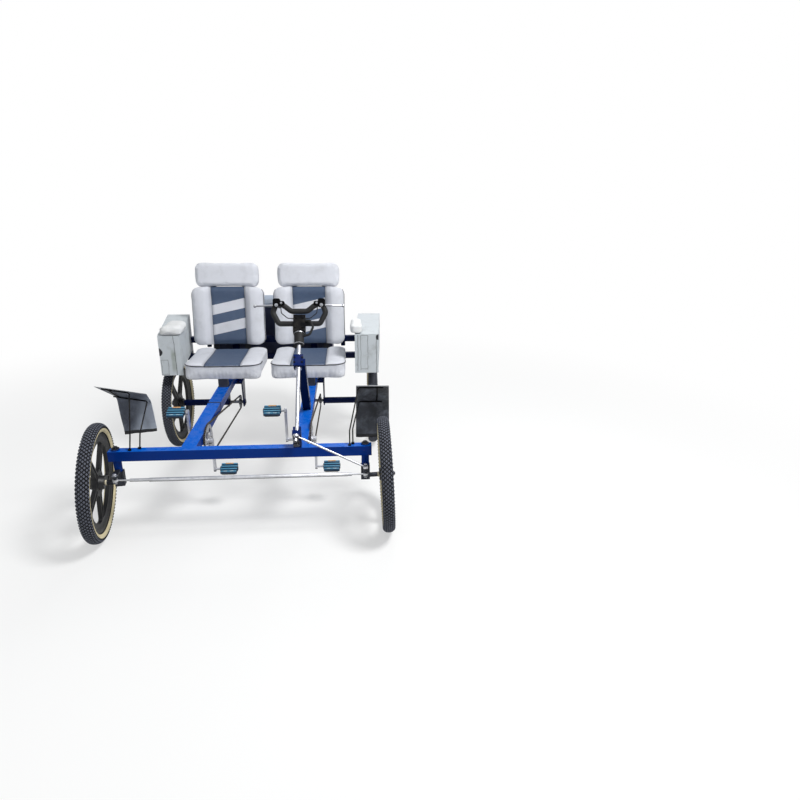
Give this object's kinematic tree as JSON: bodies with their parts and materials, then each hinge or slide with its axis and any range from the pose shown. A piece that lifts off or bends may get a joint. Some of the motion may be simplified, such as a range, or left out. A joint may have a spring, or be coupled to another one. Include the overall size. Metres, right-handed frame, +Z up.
{
  "type": "two-seat pedal quadricycle",
  "caption": "Side-by-side recumbent pedal four-wheeler with two vinyl bucket seats, black spoked wheels, a bar-steered linkage, box armrests over the rear wheels and flap mudguards",
  "frame": {"origin": "on the ground under the middle of the machine", "axes": "+X to the right as seen from the front of the machine, +Y rearwards, +Z up; the machine faces -Y"},
  "size_m": [1.5887, 2.1189, 1.2495],
  "materials": {
    "frame_paint": "gloss blue enamel",
    "rear_frame_paint": "dark blue enamel",
    "bright_steel": "zinc-bright steel",
    "chain_steel": "oily chain steel",
    "black_plastic": "moulded black",
    "black_metal": "black enamel",
    "tyre_rubber": "knobby tread, tan walls",
    "rubber": "soft black rubber",
    "seat_vinyl": "light grey vinyl with slate panels",
    "seat_board": "grey covered board",
    "box_vinyl": "weathered grey vinyl",
    "pad_vinyl": "white vinyl",
    "luggage_vinyl": "slate blue vinyl",
    "mudguard_vinyl": "dark grey vinyl sheet",
    "pedal_plastic": "blue-green plastic"
  },
  "bodies": {
    "chassis": {"front_beam": "frame_paint", "main_tube_left": "frame_paint", "main_tube_right": "frame_paint", "rear_frame": "rear_frame_paint", "axle_carrier_left": "rear_frame_paint", "axle_carrier_right": "rear_frame_paint", "lower_bearing": "frame_paint", "steering_post": "frame_paint", "seat_frame_left": "seat_board", "seat_frame_right": "seat_board", "seat_cushion_left": "seat_vinyl", "seat_cushion_right": "seat_vinyl", "seat_back_left": "seat_vinyl", "seat_back_right": "seat_vinyl", "headrest_left": "seat_vinyl", "headrest_right": "seat_vinyl", "armrest_box_left": "box_vinyl", "armrest_box_right": "box_vinyl", "armrest_pad_left": "pad_vinyl", "armrest_pad_right": "pad_vinyl", "luggage_box": "luggage_vinyl", "mudguard_stem_left": "black_metal", "mudguard_stem_right": "black_metal", "mudguard_flap_left": "mudguard_vinyl", "mudguard_flap_right": "mudguard_vinyl", "chain_left": "chain_steel", "chain_right": "chain_steel"},
    "knuckle_l": {"knuckle_left": "bright_steel"},
    "knuckle_r": {"knuckle_right": "bright_steel"},
    "front_wheel_l": {"front_rim_left": "black_plastic", "front_tyre_left": "tyre_rubber"},
    "front_wheel_r": {"front_rim_right": "black_plastic", "front_tyre_right": "tyre_rubber"},
    "rear_wheel_l": {"half_shaft_left": "bright_steel", "rear_rim_left": "black_plastic", "rear_tyre_left": "tyre_rubber"},
    "rear_wheel_r": {"half_shaft_right": "bright_steel", "rear_rim_right": "black_plastic", "rear_tyre_right": "tyre_rubber"},
    "steering": {"steering_shaft": "bright_steel", "rubber_coupling": "rubber", "handlebar": "black_metal", "brake_lever_left": "bright_steel", "brake_lever_right": "bright_steel", "coupling_hose": "rubber", "brake_cables": "rubber"},
    "tie_rod": {"tie_rod": "bright_steel"},
    "drag_link": {"drag_link": "bright_steel"},
    "crank_l": {"crankset_left": "bright_steel"},
    "crank_r": {"crankset_right": "bright_steel"},
    "pedal_lu": {"pedal_left_up": "pedal_plastic"},
    "pedal_ld": {"pedal_left_down": "pedal_plastic"},
    "pedal_ru": {"pedal_right_up": "pedal_plastic"},
    "pedal_rd": {"pedal_right_down": "pedal_plastic"},
    "lid": {"luggage_lid": "luggage_vinyl"}
  },
  "joints": [
    {"name": "column_turn", "type": "hinge", "parent": "chassis", "child": "steering", "pos_m": [0.281, -0.786, 0.54], "axis": [0, 0.6943, 0.7197], "range_deg": [-36, 36]},
    {"name": "steer_left", "type": "hinge", "parent": "chassis", "child": "knuckle_l", "pos_m": [-0.625, -0.74, 0.4], "axis": [0, 0, 1], "range_deg": [-18, 18]},
    {"name": "steer_right", "type": "hinge", "parent": "chassis", "child": "knuckle_r", "pos_m": [0.625, -0.74, 0.4], "axis": [0, 0, 1], "range_deg": [-18, 18]},
    {"name": "tie_rod_pivot", "type": "hinge", "parent": "knuckle_r", "child": "tie_rod", "pos_m": [0.6242, -0.832, 0.352], "axis": [0, 0, 1], "range_deg": [-18.23, 18.23]},
    {"name": "drag_link_pivot", "type": "hinge", "parent": "knuckle_r", "child": "drag_link", "pos_m": [0.6242, -0.832, 0.39], "axis": [0, 0, 1], "range_deg": [-18.05, 18.05]},
    {"name": "front_left_spin", "type": "hinge", "parent": "knuckle_l", "child": "front_wheel_l", "pos_m": [-0.73068, -0.75674, 0.305], "axis": [0.9858, 0.1561, -0.061], "continuous": true},
    {"name": "front_right_spin", "type": "hinge", "parent": "knuckle_r", "child": "front_wheel_r", "pos_m": [0.732, -0.74093, 0.305], "axis": [0.999, -0.0087, 0.0436], "continuous": true},
    {"name": "rear_left_spin", "type": "hinge", "parent": "chassis", "child": "rear_wheel_l", "pos_m": [-0.652, 0.46, 0.305], "axis": [1, 0, 0], "continuous": true},
    {"name": "rear_right_spin", "type": "hinge", "parent": "chassis", "child": "rear_wheel_r", "pos_m": [0.704, 0.46, 0.305], "axis": [1, 0, 0], "continuous": true},
    {"name": "crank_left_turn", "type": "hinge", "parent": "chassis", "child": "crank_l", "pos_m": [-0.273, -0.493, 0.41], "axis": [1, 0, 0], "continuous": true},
    {"name": "crank_right_turn", "type": "hinge", "parent": "chassis", "child": "crank_r", "pos_m": [0.289, -0.493, 0.41], "axis": [1, 0, 0], "continuous": true},
    {"name": "pedal_lu_turn", "type": "hinge", "parent": "crank_l", "child": "pedal_lu", "pos_m": [-0.385, -0.493, 0.58], "axis": [1, 0, 0], "continuous": true},
    {"name": "pedal_ld_turn", "type": "hinge", "parent": "crank_l", "child": "pedal_ld", "pos_m": [-0.132, -0.493, 0.24], "axis": [1, 0, 0], "continuous": true},
    {"name": "pedal_ru_turn", "type": "hinge", "parent": "crank_r", "child": "pedal_ru", "pos_m": [0.126, -0.493, 0.58], "axis": [1, 0, 0], "continuous": true},
    {"name": "pedal_rd_turn", "type": "hinge", "parent": "crank_r", "child": "pedal_rd", "pos_m": [0.44, -0.493, 0.24], "axis": [1, 0, 0], "continuous": true},
    {"name": "lid_lift", "type": "hinge", "parent": "chassis", "child": "lid", "pos_m": [0, 0.746, 0.949], "axis": [1, 0, 0], "range_deg": [0, 78]}
  ],
  "couplings": [
    {"joint": "steer_left", "follows": "column_turn", "ratio": 0.5},
    {"joint": "steer_right", "follows": "column_turn", "ratio": 0.5},
    {"joint": "tie_rod_pivot", "follows": "column_turn", "ratio": -0.50605},
    {"joint": "drag_link_pivot", "follows": "column_turn", "ratio": -0.50097},
    {"joint": "pedal_lu_turn", "follows": "crank_left_turn", "ratio": -1},
    {"joint": "pedal_ld_turn", "follows": "crank_left_turn", "ratio": -1},
    {"joint": "pedal_ru_turn", "follows": "crank_right_turn", "ratio": -1},
    {"joint": "pedal_rd_turn", "follows": "crank_right_turn", "ratio": -1}
  ]
}
